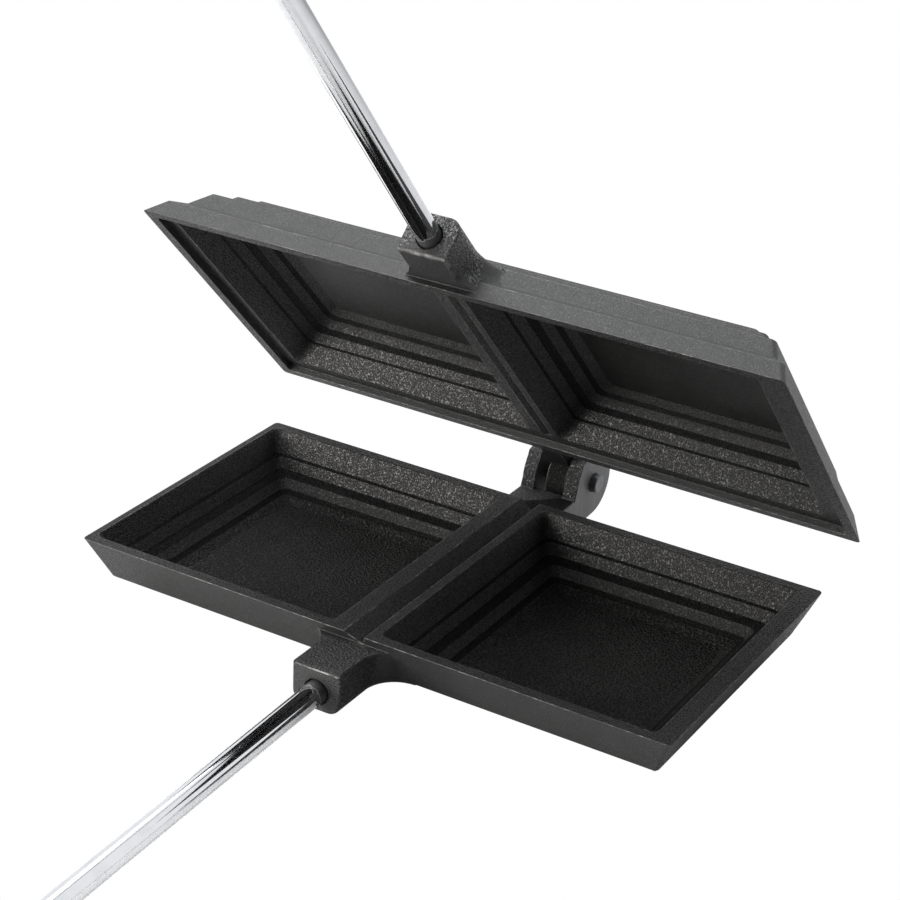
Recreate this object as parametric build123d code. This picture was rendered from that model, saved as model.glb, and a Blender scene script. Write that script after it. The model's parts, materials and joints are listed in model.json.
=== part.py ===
from build123d import *
import math
import os

# Double-cavity cast iron pie iron, modelled open as it stands ready to fill.
# Millimetres. +Z is up and +Y points from the handles towards the hinge.
# The origin is on the floor, under the middle of the lower half's rim outline.

# ---- outlines of the two castings ----
upper_length = 209.5
upper_width = 110.0
lip_width = 3.6
lip_depth = 2.3
nest_side_clearance = 0.5
nest_end_clearance = 1.4
lower_length = upper_length - 2 * (lip_width + nest_end_clearance)
lower_width = upper_width - 2 * (lip_width + nest_side_clearance)
rim_corner_radius = 1.5
# the end clearance lets the upper half slide along the pin: it lies this far to the right
upper_slide = 1.0

# ---- what is inside the castings sits a little to the left of their outlines ----
core_shift = -1.9

# ---- pans ----
side_rim = 4.2
front_rim = 3.8
back_rim = 3.6
pan_corner_radius = 2.5
lower_divider_width = 15.6
lower_divider_shift = -0.3
upper_divider_width = 10.6
upper_divider_shift = 0.3
pan_steps = [(3.5, 7.2), (4.2, 7.4), (6.2, 11.0), (8.7, 12.1), (10.65, 15.0), (12.4, 16.1)]
pan_floor_inset = 15.4
lower_pan_depth = 18.0
upper_pan_depth = 16.5

# ---- V grooves along the dividers: left edge and right edge from the divider's left side ----
lower_groove_start = 5.6
lower_groove_width = 6.9
lower_groove_depth = 3.1
upper_groove_start = 4.3
upper_groove_width = 3.3
upper_groove_depth = 1.6
groove_bottom_share = 0.86

# ---- outside of the castings: inset from the outline, distance from the rim or lip plane ----
lower_depth = 22.0
lower_outside = [(5.9, 13.6), (9.3, 14.1), (10.9, 17.0), (13.6, 17.6), (15.1, 19.4), (18.5, 19.9)]
lower_base_inset = 20.0
upper_depth = 24.0
upper_outside = [(3.7, 6.5), (7.5, 8.7), (11.4, 15.4), (14.8, 15.9), (16.4, 18.6), (19.7, 19.1)]
upper_outside += [(21.3, 21.2), (26.2, 21.6)]
upper_back_inset = 28.5

# ---- rod bosses on the fronts, under the rim and above the lip ----
boss_width = 16.2
boss_flare = 8.5
# how far behind the wall's slope the flares end, so that they run out smoothly into its steps
boss_sink = 1.2
boss_root = 8.0
boss_corner_radius = 4.5
lower_boss_length = 17.1
lower_boss_height = 13.7
upper_boss_length = 14.5
upper_boss_height = 13.2
upper_boss_lift = 2.3

# ---- rods ----
rod_diameter = 7.0
rod_exposed = 432.5
socket_depth = 16.0
socket_mouth_gap = 0.4
socket_mouth_depth = 1.2
lower_rod_below_boss_top = 7.7
lower_rod_skew_angle = 1.8
lower_rod_rise_angle = 0.35
upper_rod_above_boss_foot = 6.2
upper_rod_rise_angle = 2.6

# ---- grips ----
grip_length = 123.0
grip_neck_from_front = 50.0
grip_belly_from_front = 88.0
grip_tail_length = 28.0
grip_shoulder_radius = 10.2
grip_neck_radius = 10.9
grip_belly_radius = 13.7
grip_crown_radius = 10.5
grip_bore = 60.0
ferrule_length = 16.0
ferrule_wall = 0.8
ferrule_diameter = 20.0
ferrule_hole_clearance = 0.1
nail_diameter = 2.2

# ---- hinge: ears on the lower half, tongue on the upper half ----
hinge_setback = 25.5
hinge_drop = 1.3
ear_thickness = 4.8
ear_gap = 10.6
ear_radius = 11.5
ear_shoulder_forward = 8.1
ear_shoulder_up = 9.5
ear_foot_forward = 12.6
web_drop = 3.2
web_height = 9.8
tongue_width = 7.0
tongue_radius = 9.5
tongue_clearance = 1.2
tongue_underside = 0.4
tongue_root_height = 13.4
pin_diameter = 6.0
pin_clearance = 0.08
pin_proud_right = 2.2
pin_proud_left = 0.4
pin_end_chamfer = 0.4

# ---- the pose that is modelled ----
open_angle = 47.0

# ---- places worked out from the sizes above, in the lower half's frame: rim plane at z = 0 ----
hinge_y = lower_width / 2 + hinge_setback
hinge_z = -hinge_drop
clevis_width = 2 * ear_thickness + ear_gap
hinge_x = core_shift
lower_front = -lower_width / 2
upper_front = -upper_width / 2
lower_boss_front = lower_front - lower_boss_length
upper_boss_front = upper_front - upper_boss_length
# the lower boss's top is level with the floor of the groove, which opens onto it
lower_boss_drop = lower_groove_depth
cut_margin = 1.0


def rounded_slab_face(length, width, radius, x, y, z):
    """Flat rounded rectangle at a height, as one section of a stepped body."""
    outline = RectangleRounded(length, width, radius)
    return Pos(x, y, z) * outline


def stepped_body(length, width, x, y, start, steps, direction, radius):
    """Body whose walls step inwards: each step is (inset, distance from the start plane)."""
    sections = []
    for inset, distance in steps:
        z = start + direction * distance
        sections.append(rounded_slab_face(length - 2 * inset, width - 2 * inset, radius, x, y, z))
    return loft(sections, ruled=True)


def pan_body(left, right, start, depth, direction):
    """Stepped hollow between two side edges, open at its start plane."""
    front = lower_front + front_rim
    back = lower_width / 2 - back_rim
    depth_ratio = depth / lower_pan_depth
    steps = [(0, 0)]
    for inset, distance in pan_steps:
        steps.append((inset, distance * depth_ratio))
    steps.append((pan_floor_inset, depth))
    length = right - left
    width = back - front
    x = (left + right) / 2
    y = (front + back) / 2
    hollow = stepped_body(length, width, x, y, start, steps, direction, pan_corner_radius)
    mouth = extrude(rounded_slab_face(length, width, pan_corner_radius, x, y, start), -direction * cut_margin)
    return hollow + mouth


def pan_edges(divider_width, divider_shift):
    """Left and right edges of the two pans."""
    outer_left = -lower_length / 2 + side_rim + core_shift
    outer_right = lower_length / 2 - side_rim + core_shift
    middle = core_shift + divider_shift
    return [(outer_left, middle - divider_width / 2), (middle + divider_width / 2, outer_right)]


def pans(divider_width, divider_shift, start, depth, direction):
    """Both pans of one casting."""
    hollows = []
    for left, right in pan_edges(divider_width, divider_shift):
        hollows.append(pan_body(left, right, start, depth, direction))
    return hollows[0] + hollows[1]


def groove_body(left, width, depth, start, direction, front, back):
    """V groove: a long slope down from its left edge and a steep one up to its right edge."""
    flare = width * cut_margin / depth
    points = [
        (left - flare * groove_bottom_share, start - direction * cut_margin),
        (left + width * groove_bottom_share, start + direction * depth),
        (left + width + flare * (1 - groove_bottom_share), start - direction * cut_margin),
    ]
    profile = Plane.XZ * make_face(Polyline(*points, close=True))
    return Pos(0, back, 0) * extrude(profile, back - front)


def boss_plan(front, wall):
    """Plan of a boss: a strip that widens in two hollow curves where it meets the wall."""
    root = wall + boss_root
    half_width = boss_width / 2
    side = half_width + boss_flare
    outline = [
        Line((side, root), (side, wall)),
        RadiusArc((side, wall), (half_width, wall - boss_flare), -boss_flare),
        Line((half_width, wall - boss_flare), (half_width, front)),
        Line((half_width, front), (-half_width, front)),
        Line((-half_width, front), (-half_width, wall - boss_flare)),
        RadiusArc((-half_width, wall - boss_flare), (-side, wall), -boss_flare),
        Line((-side, wall), (-side, root)),
        Line((-side, root), (side, root)),
    ]
    return make_face(outline)


def boss_body(front, outline_front, base, height, direction, slope):
    """Boss that leans with the wall behind it, with an upright front and round far edges."""
    wall = outline_front + slope * base + boss_sink
    lean_y = slope * height
    lean = Vector(0, lean_y, direction * height)
    plan = Pos(0, 0, direction * base) * boss_plan(front - lean_y, wall)
    body = extrude(plan, lean.length, dir=lean.normalized())
    back = wall + boss_root + lean_y
    middle = Vector(0, (front + back) / 2, direction * (base + height / 2))
    body &= Pos(middle) * Box(upper_length, back - front, height)
    by_height = body.edges().filter_by(Axis.Y).group_by(Axis.Z)
    far_edges = by_height[-1] if direction > 0 else by_height[0]
    root_left, left, right, root_right = far_edges.sort_by(Axis.X)
    return Pos(core_shift, 0, 0) * fillet([left, right], boss_corner_radius)


def rod_plane(y, z, skew_angle, rise_angle):
    """Plane on a boss's front whose Z axis runs outwards along the rod."""
    skew = math.tan(math.radians(skew_angle))
    rise = math.tan(math.radians(rise_angle))
    outwards = Vector(skew, -1, rise).normalized()
    return Plane(origin=(core_shift, y, z), x_dir=Vector(1, skew, 0).normalized(), z_dir=outwards)


lower_rod_z = -lower_boss_drop - lower_rod_below_boss_top
upper_rod_z = -lip_depth + upper_boss_lift + upper_rod_above_boss_foot
lower_rod_plane = rod_plane(lower_boss_front, lower_rod_z, lower_rod_skew_angle, lower_rod_rise_angle)
upper_rod_plane = rod_plane(upper_boss_front, upper_rod_z, 0, upper_rod_rise_angle)


def along(plane, start, length, radius):
    """Round bar along a rod's axis."""
    bar = Cylinder(radius, length, align=(Align.CENTER, Align.CENTER, Align.MIN))
    return plane * Pos(0, 0, start) * bar


def socket_body(plane):
    """Blind hole for a rod, with a slightly wider mouth."""
    hole = along(plane, -socket_depth, socket_depth + cut_margin, rod_diameter / 2)
    mouth_length = socket_mouth_depth + cut_margin
    mouth = along(plane, -socket_mouth_depth, mouth_length, rod_diameter / 2 + socket_mouth_gap)
    return hole + mouth


def side_profile(points, x, width):
    """Plate with the given outline in the YZ plane, centred on x."""
    outline = Plane.YZ * make_face(Polyline(*points, close=True))
    return Pos(x - width / 2, 0, 0) * extrude(outline, width)


def hinge_disc(radius, x, width):
    """Round plate about the hinge axis."""
    disc = Rot(0, 90, 0) * Cylinder(radius, width)
    return Pos(x, hinge_y, hinge_z) * disc


def hinge_ear(x):
    """One ear: a round end, a straight front edge and an arm back to the wall."""
    wall_y = lower_width / 2 - boss_root
    web_bottom = -web_drop - web_height
    arm = [
        (wall_y, -web_drop),
        (hinge_y - ear_foot_forward, -web_drop),
        (hinge_y - ear_shoulder_forward, hinge_z + ear_shoulder_up),
        (hinge_y, hinge_z + ear_radius),
        (hinge_y, hinge_z - ear_radius),
        (wall_y, web_bottom),
    ]
    return side_profile(arm, x, ear_thickness) + hinge_disc(ear_radius, x, ear_thickness)


def hinge_web():
    """Solid web between the wall and the slot for the tongue."""
    front = lower_width / 2 - boss_root
    back = hinge_y - tongue_radius - tongue_clearance / 2
    length = back - front
    web = Box(clevis_width, length, web_height)
    web = Pos(hinge_x, front + length / 2, -web_drop - web_height / 2) * web
    return web - hinge_disc(tongue_radius + tongue_clearance, hinge_x, ear_gap)


def lower_half():
    """Lower casting in its own frame."""
    steps = [(0, 0)] + lower_outside + [(lower_base_inset, lower_depth)]
    body = stepped_body(lower_length, lower_width, 0, 0, 0, steps, -1, rim_corner_radius)
    wall_inset, wall_drop = lower_outside[0]
    wall_slope = wall_inset / wall_drop
    body += boss_body(lower_boss_front, lower_front, lower_boss_drop, lower_boss_height, -1, wall_slope)
    body += hinge_web()
    for side in (-1, 1):
        body += hinge_ear(hinge_x + side * (ear_gap + ear_thickness) / 2)
    body -= pans(lower_divider_width, lower_divider_shift, 0, lower_pan_depth, -1)
    left = pan_edges(lower_divider_width, lower_divider_shift)[0][1] + lower_groove_start
    back = lower_width / 2
    body -= groove_body(left, lower_groove_width, lower_groove_depth, 0, -1, lower_front, back)
    body -= socket_body(lower_rod_plane)
    body -= hinge_disc(pin_diameter / 2, hinge_x, clevis_width + 2 * cut_margin)
    return body


def upper_half():
    """Upper casting in its own frame, closed: its lip plane lies below the lower rim's plane."""
    lip_z = -lip_depth
    steps = [(0, 0)] + upper_outside + [(upper_back_inset, upper_depth)]
    body = stepped_body(upper_length, upper_width, 0, 0, lip_z, steps, 1, rim_corner_radius)
    wall_inset, wall_height = upper_outside[2]
    wall_slope = wall_inset / wall_height
    boss = boss_body(upper_boss_front, upper_front, upper_boss_lift, upper_boss_height, 1, wall_slope)
    body += Pos(0, 0, lip_z) * boss
    body += hinge_tongue()
    recess_size = (upper_length - 2 * lip_width, upper_width - 2 * lip_width)
    recess = rounded_slab_face(*recess_size, rim_corner_radius, 0, 0, 0)
    body -= extrude(recess, -lip_depth - cut_margin)
    body -= pans(upper_divider_width, upper_divider_shift, 0, upper_pan_depth, 1)
    left = pan_edges(upper_divider_width, upper_divider_shift)[0][1] + upper_groove_start
    front = lower_front + front_rim
    back = lower_width / 2 - back_rim
    body -= groove_body(left, upper_groove_width, upper_groove_depth, 0, 1, front, back)
    body -= socket_body(upper_rod_plane)
    body -= hinge_disc(pin_diameter / 2 + pin_clearance, hinge_x, tongue_width + 2 * cut_margin)
    return body


def hinge_tongue():
    """Tongue of the upper casting: a round end about the pin and an arm to the wall."""
    wall_y = upper_width / 2 - boss_root - cut_margin
    underside = -lip_depth + tongue_underside
    arm = [
        (wall_y, underside),
        (hinge_y - tongue_radius, underside),
        (hinge_y, hinge_z),
        (hinge_y, hinge_z + tongue_radius),
        (upper_width / 2, -lip_depth + tongue_root_height),
        (wall_y, -lip_depth + tongue_root_height),
    ]
    return side_profile(arm, hinge_x, tongue_width) + hinge_disc(tongue_radius, hinge_x, tongue_width)


def hinge_pin():
    """Plain pin, pressed into both ears and proud on the right."""
    length = clevis_width + pin_proud_left + pin_proud_right
    middle = hinge_x + (pin_proud_right - pin_proud_left) / 2
    pin = hinge_disc(pin_diameter / 2, middle, length)
    ends = pin.edges().filter_by(GeomType.CIRCLE)
    return chamfer(ends, pin_end_chamfer)


def nail_hole(plane):
    """Cross hole for the nail, or the nail itself, in the middle of the ferrule."""
    nail = Rot(0, 90, 0) * Cylinder(nail_diameter / 2, ferrule_diameter)
    return plane * Pos(0, 0, rod_exposed + ferrule_length / 2) * nail


def rod_body(plane):
    """Straight rod from the bottom of its socket to the bottom of the grip's bore."""
    rod = along(plane, -socket_depth, socket_depth + rod_exposed + grip_bore, rod_diameter / 2)
    return rod - nail_hole(plane)


def ferrule_body(plane):
    """Steel cap over the grip's front end."""
    start = rod_exposed - ferrule_wall
    cap = along(plane, start, ferrule_length + ferrule_wall, ferrule_diameter / 2)
    cap -= along(plane, rod_exposed, ferrule_length, ferrule_diameter / 2 - ferrule_wall)
    cap -= along(plane, start, ferrule_length, rod_diameter / 2 + ferrule_hole_clearance)
    return cap - nail_hole(plane)


def grip_body(plane):
    """Turned wooden grip: a seat for the ferrule, a slim neck, a belly and a rounded end."""
    seat = ferrule_diameter / 2 - ferrule_wall
    swell = Spline(
        (grip_shoulder_radius, ferrule_length),
        (grip_neck_radius, grip_neck_from_front),
        (grip_belly_radius, grip_belly_from_front),
        tangents=[(0, 1), (0, 1)],
    )
    tail = Bezier(
        (grip_belly_radius, grip_belly_from_front),
        (grip_belly_radius, grip_belly_from_front + grip_tail_length),
        (grip_crown_radius, grip_length),
        (0, grip_length),
    )
    outline = [
        Line((0, 0), (seat, 0)),
        Line((seat, 0), (seat, ferrule_length)),
        Line((seat, ferrule_length), (grip_shoulder_radius, ferrule_length)),
        swell,
        tail,
        Line((0, grip_length), (0, 0)),
    ]
    wood = revolve(Plane.XZ * make_face(outline), Axis.Z)
    wood = plane * Pos(0, 0, rod_exposed) * wood
    wood -= along(plane, rod_exposed, grip_bore, rod_diameter / 2)
    return wood - nail_hole(plane)


def place_lower(shape):
    """From the lower half's frame to the part's frame."""
    return Pos(0, 0, lower_depth) * shape


def place_upper(shape):
    """From the closed upper half to its open pose, at the right end of its play."""
    to_axis = Pos(upper_slide, hinge_y, hinge_z + lower_depth)
    from_axis = Pos(0, -hinge_y, -hinge_z)
    return to_axis * Rot(-open_angle, 0, 0) * from_axis * shape


def save(shape, name):
    """Write one node."""
    shape.label = name
    export_step(shape, "parts/" + name + ".step")


def main():
    os.makedirs("parts", exist_ok=True)
    save(place_lower(lower_half()), "lower_half")
    save(place_lower(hinge_pin()), "hinge_pin")
    save(place_upper(upper_half()), "upper_half")
    rods = [("lower", lower_rod_plane, place_lower), ("upper", upper_rod_plane, place_upper)]
    for name, plane, place in rods:
        save(place(rod_body(plane)), name + "_rod")
        save(place(ferrule_body(plane)), name + "_ferrule")
        save(place(grip_body(plane)), name + "_grip")
        save(place(nail_hole(plane)), name + "_grip_nail")


main()
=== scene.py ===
"""Pie iron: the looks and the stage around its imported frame.

Each operator dresses one group of pieces or builds the stage. The sizes and colours that a user
would change are properties of the scene, shown in the sidebar. Lengths are in metres.
"""

import json
import math

import bmesh
import bpy
import numpy as np
from mathutils import Matrix, Vector


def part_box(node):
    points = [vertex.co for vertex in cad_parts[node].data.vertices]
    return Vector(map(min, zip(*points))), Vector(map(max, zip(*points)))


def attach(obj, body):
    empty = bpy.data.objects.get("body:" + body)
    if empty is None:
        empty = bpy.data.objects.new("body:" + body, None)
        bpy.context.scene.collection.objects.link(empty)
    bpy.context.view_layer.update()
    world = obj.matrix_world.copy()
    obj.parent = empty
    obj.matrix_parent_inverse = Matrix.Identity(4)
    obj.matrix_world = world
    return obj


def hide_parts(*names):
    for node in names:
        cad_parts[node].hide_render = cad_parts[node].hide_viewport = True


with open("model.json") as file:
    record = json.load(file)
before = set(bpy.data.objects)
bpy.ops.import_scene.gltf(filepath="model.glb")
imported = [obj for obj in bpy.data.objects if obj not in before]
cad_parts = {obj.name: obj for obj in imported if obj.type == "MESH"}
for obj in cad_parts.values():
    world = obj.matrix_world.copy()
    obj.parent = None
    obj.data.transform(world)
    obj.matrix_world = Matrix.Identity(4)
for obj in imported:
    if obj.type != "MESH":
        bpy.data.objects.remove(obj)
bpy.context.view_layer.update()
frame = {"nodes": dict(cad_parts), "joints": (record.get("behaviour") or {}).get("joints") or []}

bl_info = {
    "name": "Pie Iron Looks",
    "version": (1, 0, 0),
    "blender": (4, 5, 0),
    "location": "3D View > Sidebar > Pie Iron",
    "description": "Dresses a double pie iron in cast iron, bright plated rods and turned wood",
    "category": "Object",
}

MM = 0.001

# the hinge: its place, and the turn that shuts the upper half from the pose that is modelled
HINGE = np.array(frame["joints"][0]["pos_m"])
OPEN_ANGLE = -math.radians(frame["joints"][0]["range_deg"][0])

# the height of the lower half's rim
RIM_HEIGHT = 22.0 * MM

# pans, divider, bosses and hinge lie this far to the left in the castings
CORE_SHIFT = -1.9 * MM

# the rods: where each leaves its boss (the upper one with the iron shut), the angles that it is
# turned to the right and upwards, and how far it sits in its socket and grip
ROD_RADIUS = 3.5 * MM
ROD_SOCKET = 16.0 * MM
ROD_EXPOSED = 432.5 * MM
GRIP_BORE = 60.0 * MM
LOWER_ROD = (np.array([-1.9, -68.0, 11.2]) * MM, 1.8, 0.35)
UPPER_ROD = (np.array([-1.9, -69.5, 28.2]) * MM, 0.0, 2.6)
UPPER_SLIDE = 1.0 * MM

# the grips' wood, in millimetres from its front: its seat in the ferrule, the (place, radius) knots of
# its swell, the width of its groove, and the four points of the curve that rounds its end
GRIP_SEAT = [(0, 0), (0, 9.15), (15.99, 9.15)]
GRIP_SWELL = [(16.0, 10.2), (50.0, 10.9), (88.0, 13.7)]
GROOVE_WIDTH = 0.9
GRIP_END = [(88.0, 13.7), (116.0, 13.7), (123.0, 10.5), (123.0, 0)]
BURNT_LINE_HALF = 0.7 * MM
NAIL_FROM_FRONT = 8 * MM

# where the zones of the castings end: the pans from the core's middle and below the rim, for each half
# the divider's edge and the last tread above the floor, then the bosses, the ears and the web
PAN_REACH = 96.0 * MM
PAN_BREADTH = 47.6 * MM
PAN_DEPTH = 18.2 * MM
FLOOR_DEPTH = 16.3 * MM
DIVIDER_EDGE = {"lower": 8.2 * MM, "upper": 5.4 * MM}
LAST_TREAD = {"lower": 16.2 * MM, "upper": 14.9 * MM}
RIM_BREADTH = 55.5 * MM
RIM_THICKNESS = 0.6 * MM
BOSS_ROOT = -51.3 * MM
BOSS_REACH = 14.0 * MM
BOSS_BELOW_RIM = 2.4 * MM
BOSS_FRONT = -57.0 * MM
BOSS_FRONT_REACH = 9.5 * MM
EAR_START = 55 * MM
HINGE_PART_START = 58 * MM
WEB_START, WEB_END = 50.6 * MM, 68 * MM
WEB_TOP = 20.5 * MM
WEB_REACH = 9.9 * MM

# creases of more than this many degrees are rounded, and faces within this many are one flat face
CREASE = 27
FLAT = 0.02

# the floor: half its side, its squares along a side, and how far it lies under the iron
FLOOR_HALF = 6
FLOOR_SQUARES = 12
FLOOR_DROP = 0.2 * MM

# the soft lights: place, aim, width, height and tint
LIGHTS = {
    "top": ((-0.55, 0.3, 1.15), (0, 0, 0.06), 1.1, 0.8, (0.98, 0.99, 1)),
    "high": ((-0.65, -0.45, 1.05), (0, 0, 0.06), 0.7, 0.6, (1, 0.99, 0.97)),
    "front": ((-0.75, -0.9, 0.3), (-0.05, 0, 0.06), 0.7, 0.5, (1, 0.98, 0.95)),
}

# the white room as light: where it goes from dim to bright, from before the iron to behind it, and half
# the width of the seam behind it with its soft edge and its brightness
ROOM_TURN = (-0.1, 0.6)
SEAM = (0.02, 0.06)
SEAM_SHADE = 0.4

# the iron's finishes: the setting of the colour and how much lighter it is, the pebbles' size as a
# share, bump and grain depth in millimetres, roughness, contrast (painted shade in the pits and painted
# highlight on the pebbles' tops), sheen as a share, and glint
IRON_FINISHES = {
    "outside iron": ("outside_colour", 1.0, 0.7, 0.07, 0.03, 0.45, 0.45, 1.0, 0.0),
    "pan iron": ("pan_colour", 1.0, 0.8, 0.3, 0.04, 0.46, 0.85, 1.0, 0.11),
    "upper pan floor": ("pan_colour", 1.0, 0.6, 0.05, 0.03, 0.32, 0.5, 0.6, 0.0),
    "lower pan floor": ("pan_colour", 1.9, 1.2, 0.9, 0.03, 0.38, 0.8, 0.6, 0.0),
    "rim iron": ("rim_colour", 1.0, 0.9, 0.25, 0.02, 0.42, 0.8, 0.6, 0.0),
    "lower boss iron": ("outside_colour", 1.0, 1.0, 0.4, 0.02, 0.42, 0.8, 1.0, 0.0),
    # the upper boss takes the outside colour painted twice as light, a painted highlight for the light it
    # catches
    "upper boss iron": ("outside_colour", 2.0, 0.9, 0.4, 0.02, 0.4, 0.7, 1.0, 0.5),
    # near-black painted shade for the treads, the hollow corners in the pans, and the hinge's web and
    # tongue
    "soot in the corners": ("soot_colour", 1.0, 1.0, 0.2, 0.03, 0.7, 0.6, 0.3, 0.0),
}

# the finishes of a casting's faces, in the order of its materials; the fifth is near-black painted shade
OUTSIDE, PAN, RIM, EDGE, PAINTED_SHADE, GROUND, BOSS, FLOOR = range(8)


def turned_about_hinge(points, angle):
    """Points turned about the hinge's axis: a positive angle lifts the handles' side."""
    cos, sin = math.cos(angle), math.sin(angle)
    away = np.asarray(points, float) - HINGE
    turned = away.copy()
    turned[..., 1] = away[..., 1] * cos + away[..., 2] * sin
    turned[..., 2] = away[..., 2] * cos - away[..., 1] * sin
    return turned + HINGE


def opened(points):
    """From the shut upper half to the pose that is modelled, at the right end of its play."""
    return turned_about_hinge(points, OPEN_ANGLE) + np.array([UPPER_SLIDE, 0, 0])


def shut(points):
    """From the pose that is modelled back to the shut upper half."""
    return turned_about_hinge(np.asarray(points, float) - np.array([UPPER_SLIDE, 0, 0]), -OPEN_ANGLE)


def unit(vector):
    """The vector at length one."""
    vector = np.asarray(vector, float)
    return vector / np.linalg.norm(vector)


def rod_axes():
    """For each half: the rod's place at the boss's front, its direction, and a level cross direction."""
    axes = {}
    for half, (start, skew_angle, rise_angle) in (("lower", LOWER_ROD), ("upper", UPPER_ROD)):
        skew = math.tan(math.radians(skew_angle))
        rise = math.tan(math.radians(rise_angle))
        way = unit([skew, -1, rise])
        across = unit([1, skew, 0])
        if half == "upper":
            start, ahead, beside = opened([start, start + way, start + across])
            way, across = ahead - start, beside - start
        axes[half] = (start, way, across)
    return axes


# ---- surfaces ----


def smooth_curve(knots, ends, count):
    """Cubic through three or more (place, value) knots with the given slopes at its two ends.

    The inner slopes make the bend continuous: 2(1/a + 1/b) m + m0/a + m2/b = 3(da/a + db/b).
    """
    x, y = np.array(knots, float).T
    gap = np.diff(x)
    rise = np.diff(y) / gap
    size = len(x)
    left = np.zeros((size, size))
    right = np.zeros(size)
    left[0, 0] = left[-1, -1] = 1
    right[0], right[-1] = ends
    inner = np.arange(1, size - 1)
    left[inner, inner - 1] = 1 / gap[:-1]
    left[inner, inner] = 2 / gap[:-1] + 2 / gap[1:]
    left[inner, inner + 1] = 1 / gap[1:]
    right[inner] = 3 * (rise[:-1] / gap[:-1] + rise[1:] / gap[1:])
    slope = np.linalg.solve(left, right)
    place = np.linspace(x[0], x[-1], count)
    part = np.clip(np.searchsorted(x, place, side="right") - 1, 0, size - 2)
    t = (place - x[part]) / gap[part]
    value = (
        (1 + 2 * t) * (1 - t) ** 2 * y[part]
        + t * (1 - t) ** 2 * gap[part] * slope[part]
        + t * t * (3 - 2 * t) * y[part + 1]
        + t * t * (t - 1) * gap[part] * slope[part + 1]
    )
    return np.stack([place, value], axis=1)


def round_arc(centre, radius, start, end, count):
    """Arc in (place along the axis, distance from it), from one angle to another in degrees."""
    angle = np.radians(np.linspace(start, end, count))
    return np.stack([centre[0] + radius * np.cos(angle), centre[1] + radius * np.sin(angle)], axis=1)


def turned_piece(name, start, way, across, profile, around=64, ring=False):
    """Solid turned about an axis: ring i stands at profile[i, 0] along it, at radius profile[i, 1].

    point(i, j) = start + way * along_i + radius_i * (across * cos(angle_j) + third * sin(angle_j))
    An open profile starts and ends on the axis, where each end is one shared point. A ring's
    profile closes on itself. The local place (x, y, along) is kept in the turned_place attribute.
    """
    profile = np.asarray(profile, float)
    third = np.cross(way, across)
    angle = np.arange(around) * (2 * math.pi / around)
    body = profile if ring else profile[1:-1]
    radius = body[:, 1][:, None]
    local = np.stack(
        [radius * np.cos(angle), radius * np.sin(angle), np.repeat(body[:, :1], around, axis=1)], axis=2
    ).reshape(-1, 3)
    rows = len(body)
    steps = np.arange(rows if ring else rows - 1)
    spots = np.arange(around)
    low = steps[:, None] * around
    high = ((steps + 1) % rows)[:, None] * around
    after = (spots + 1) % around
    quads = np.stack([low + spots, low + after, high + after, high + spots], axis=2).reshape(-1, 4)
    faces = quads.tolist()
    if not ring:
        poles = [[0, 0, profile[0, 0]], [0, 0, profile[-1, 0]]]
        local = np.concatenate([local, poles])
        first, last = rows * around, rows * around + 1
        bottom = np.stack([np.full(around, first), after, spots], axis=1)
        top = (rows - 1) * around + np.stack([spots, after], axis=1)
        top = np.concatenate([top, np.full((around, 1), last)], axis=1)
        faces += bottom.tolist() + top.tolist()
    points = start + local[:, 2:] * way + local[:, :1] * across + local[:, 1:2] * third
    mesh = bpy.data.meshes.new(name)
    mesh.from_pydata(points.tolist(), [], faces)
    place = mesh.attributes.new("turned_place", "FLOAT_VECTOR", "POINT")
    place.data.foreach_set("vector", local.astype(np.float32).ravel())
    mesh.polygons.foreach_set("use_smooth", np.ones(len(mesh.polygons), bool))
    mesh.set_sharp_from_angle(angle=math.radians(38))
    mesh.update()
    return shown(name, mesh)


def shown(name, mesh):
    """The mesh as an object in the scene."""
    piece = bpy.data.objects.new(name, mesh)
    bpy.context.scene.collection.objects.link(piece)
    return piece


def face_table(mesh):
    """Centres and normals of a mesh's faces as arrays."""
    centres = np.empty(3 * len(mesh.polygons))
    normals = np.empty(3 * len(mesh.polygons))
    mesh.polygons.foreach_get("center", centres)
    mesh.polygons.foreach_get("normal", normals)
    return centres.reshape(-1, 3), normals.reshape(-1, 3)


def hollow_strips(mesh, strips):
    """Which of the strips on rounded edges lie in a hollow corner: their neighbours rise before them.

    For two faces that share an edge, the strip's normal is set against the way to the neighbour.
    """
    centres, normals = face_table(mesh)
    count = len(mesh.polygons)
    sizes = np.empty(count, int)
    mesh.polygons.foreach_get("loop_total", sizes)
    edges = np.empty(len(mesh.loops), int)
    mesh.loops.foreach_get("edge_index", edges)
    owner = np.repeat(np.arange(count), sizes)
    order = np.argsort(edges, kind="stable")
    edges, owner = edges[order], owner[order]
    pair = np.nonzero(edges[1:] == edges[:-1])[0]
    one, other = owner[pair], owner[pair + 1]
    score = np.zeros(count)
    for a, b in ((one, other), (other, one)):
        rise = np.einsum("ij,ij->i", normals[a], centres[b] - centres[a])
        np.add.at(score, a, rise)
    return strips & (score > 0)


def strip_widths(mesh, narrow, wide, near_boss):
    """For each edge, the strip's share of the widest one, less where a short edge meets either end."""
    ends = np.empty(2 * len(mesh.edges), int)
    mesh.edges.foreach_get("vertices", ends)
    ends = ends.reshape(-1, 2)
    points = np.empty(3 * len(mesh.vertices))
    mesh.vertices.foreach_get("co", points)
    points = points.reshape(-1, 3)
    lengths = np.linalg.norm(points[ends[:, 0]] - points[ends[:, 1]], axis=1)
    shortest = np.ones(len(mesh.vertices))
    np.minimum.at(shortest, ends[:, 0], lengths)
    np.minimum.at(shortest, ends[:, 1], lengths)
    wanted = np.where(near_boss(points[ends].mean(axis=1)), 1, narrow / wide)
    return np.minimum(wanted, 0.9 * shortest[ends].min(axis=1) / wide)


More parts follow.
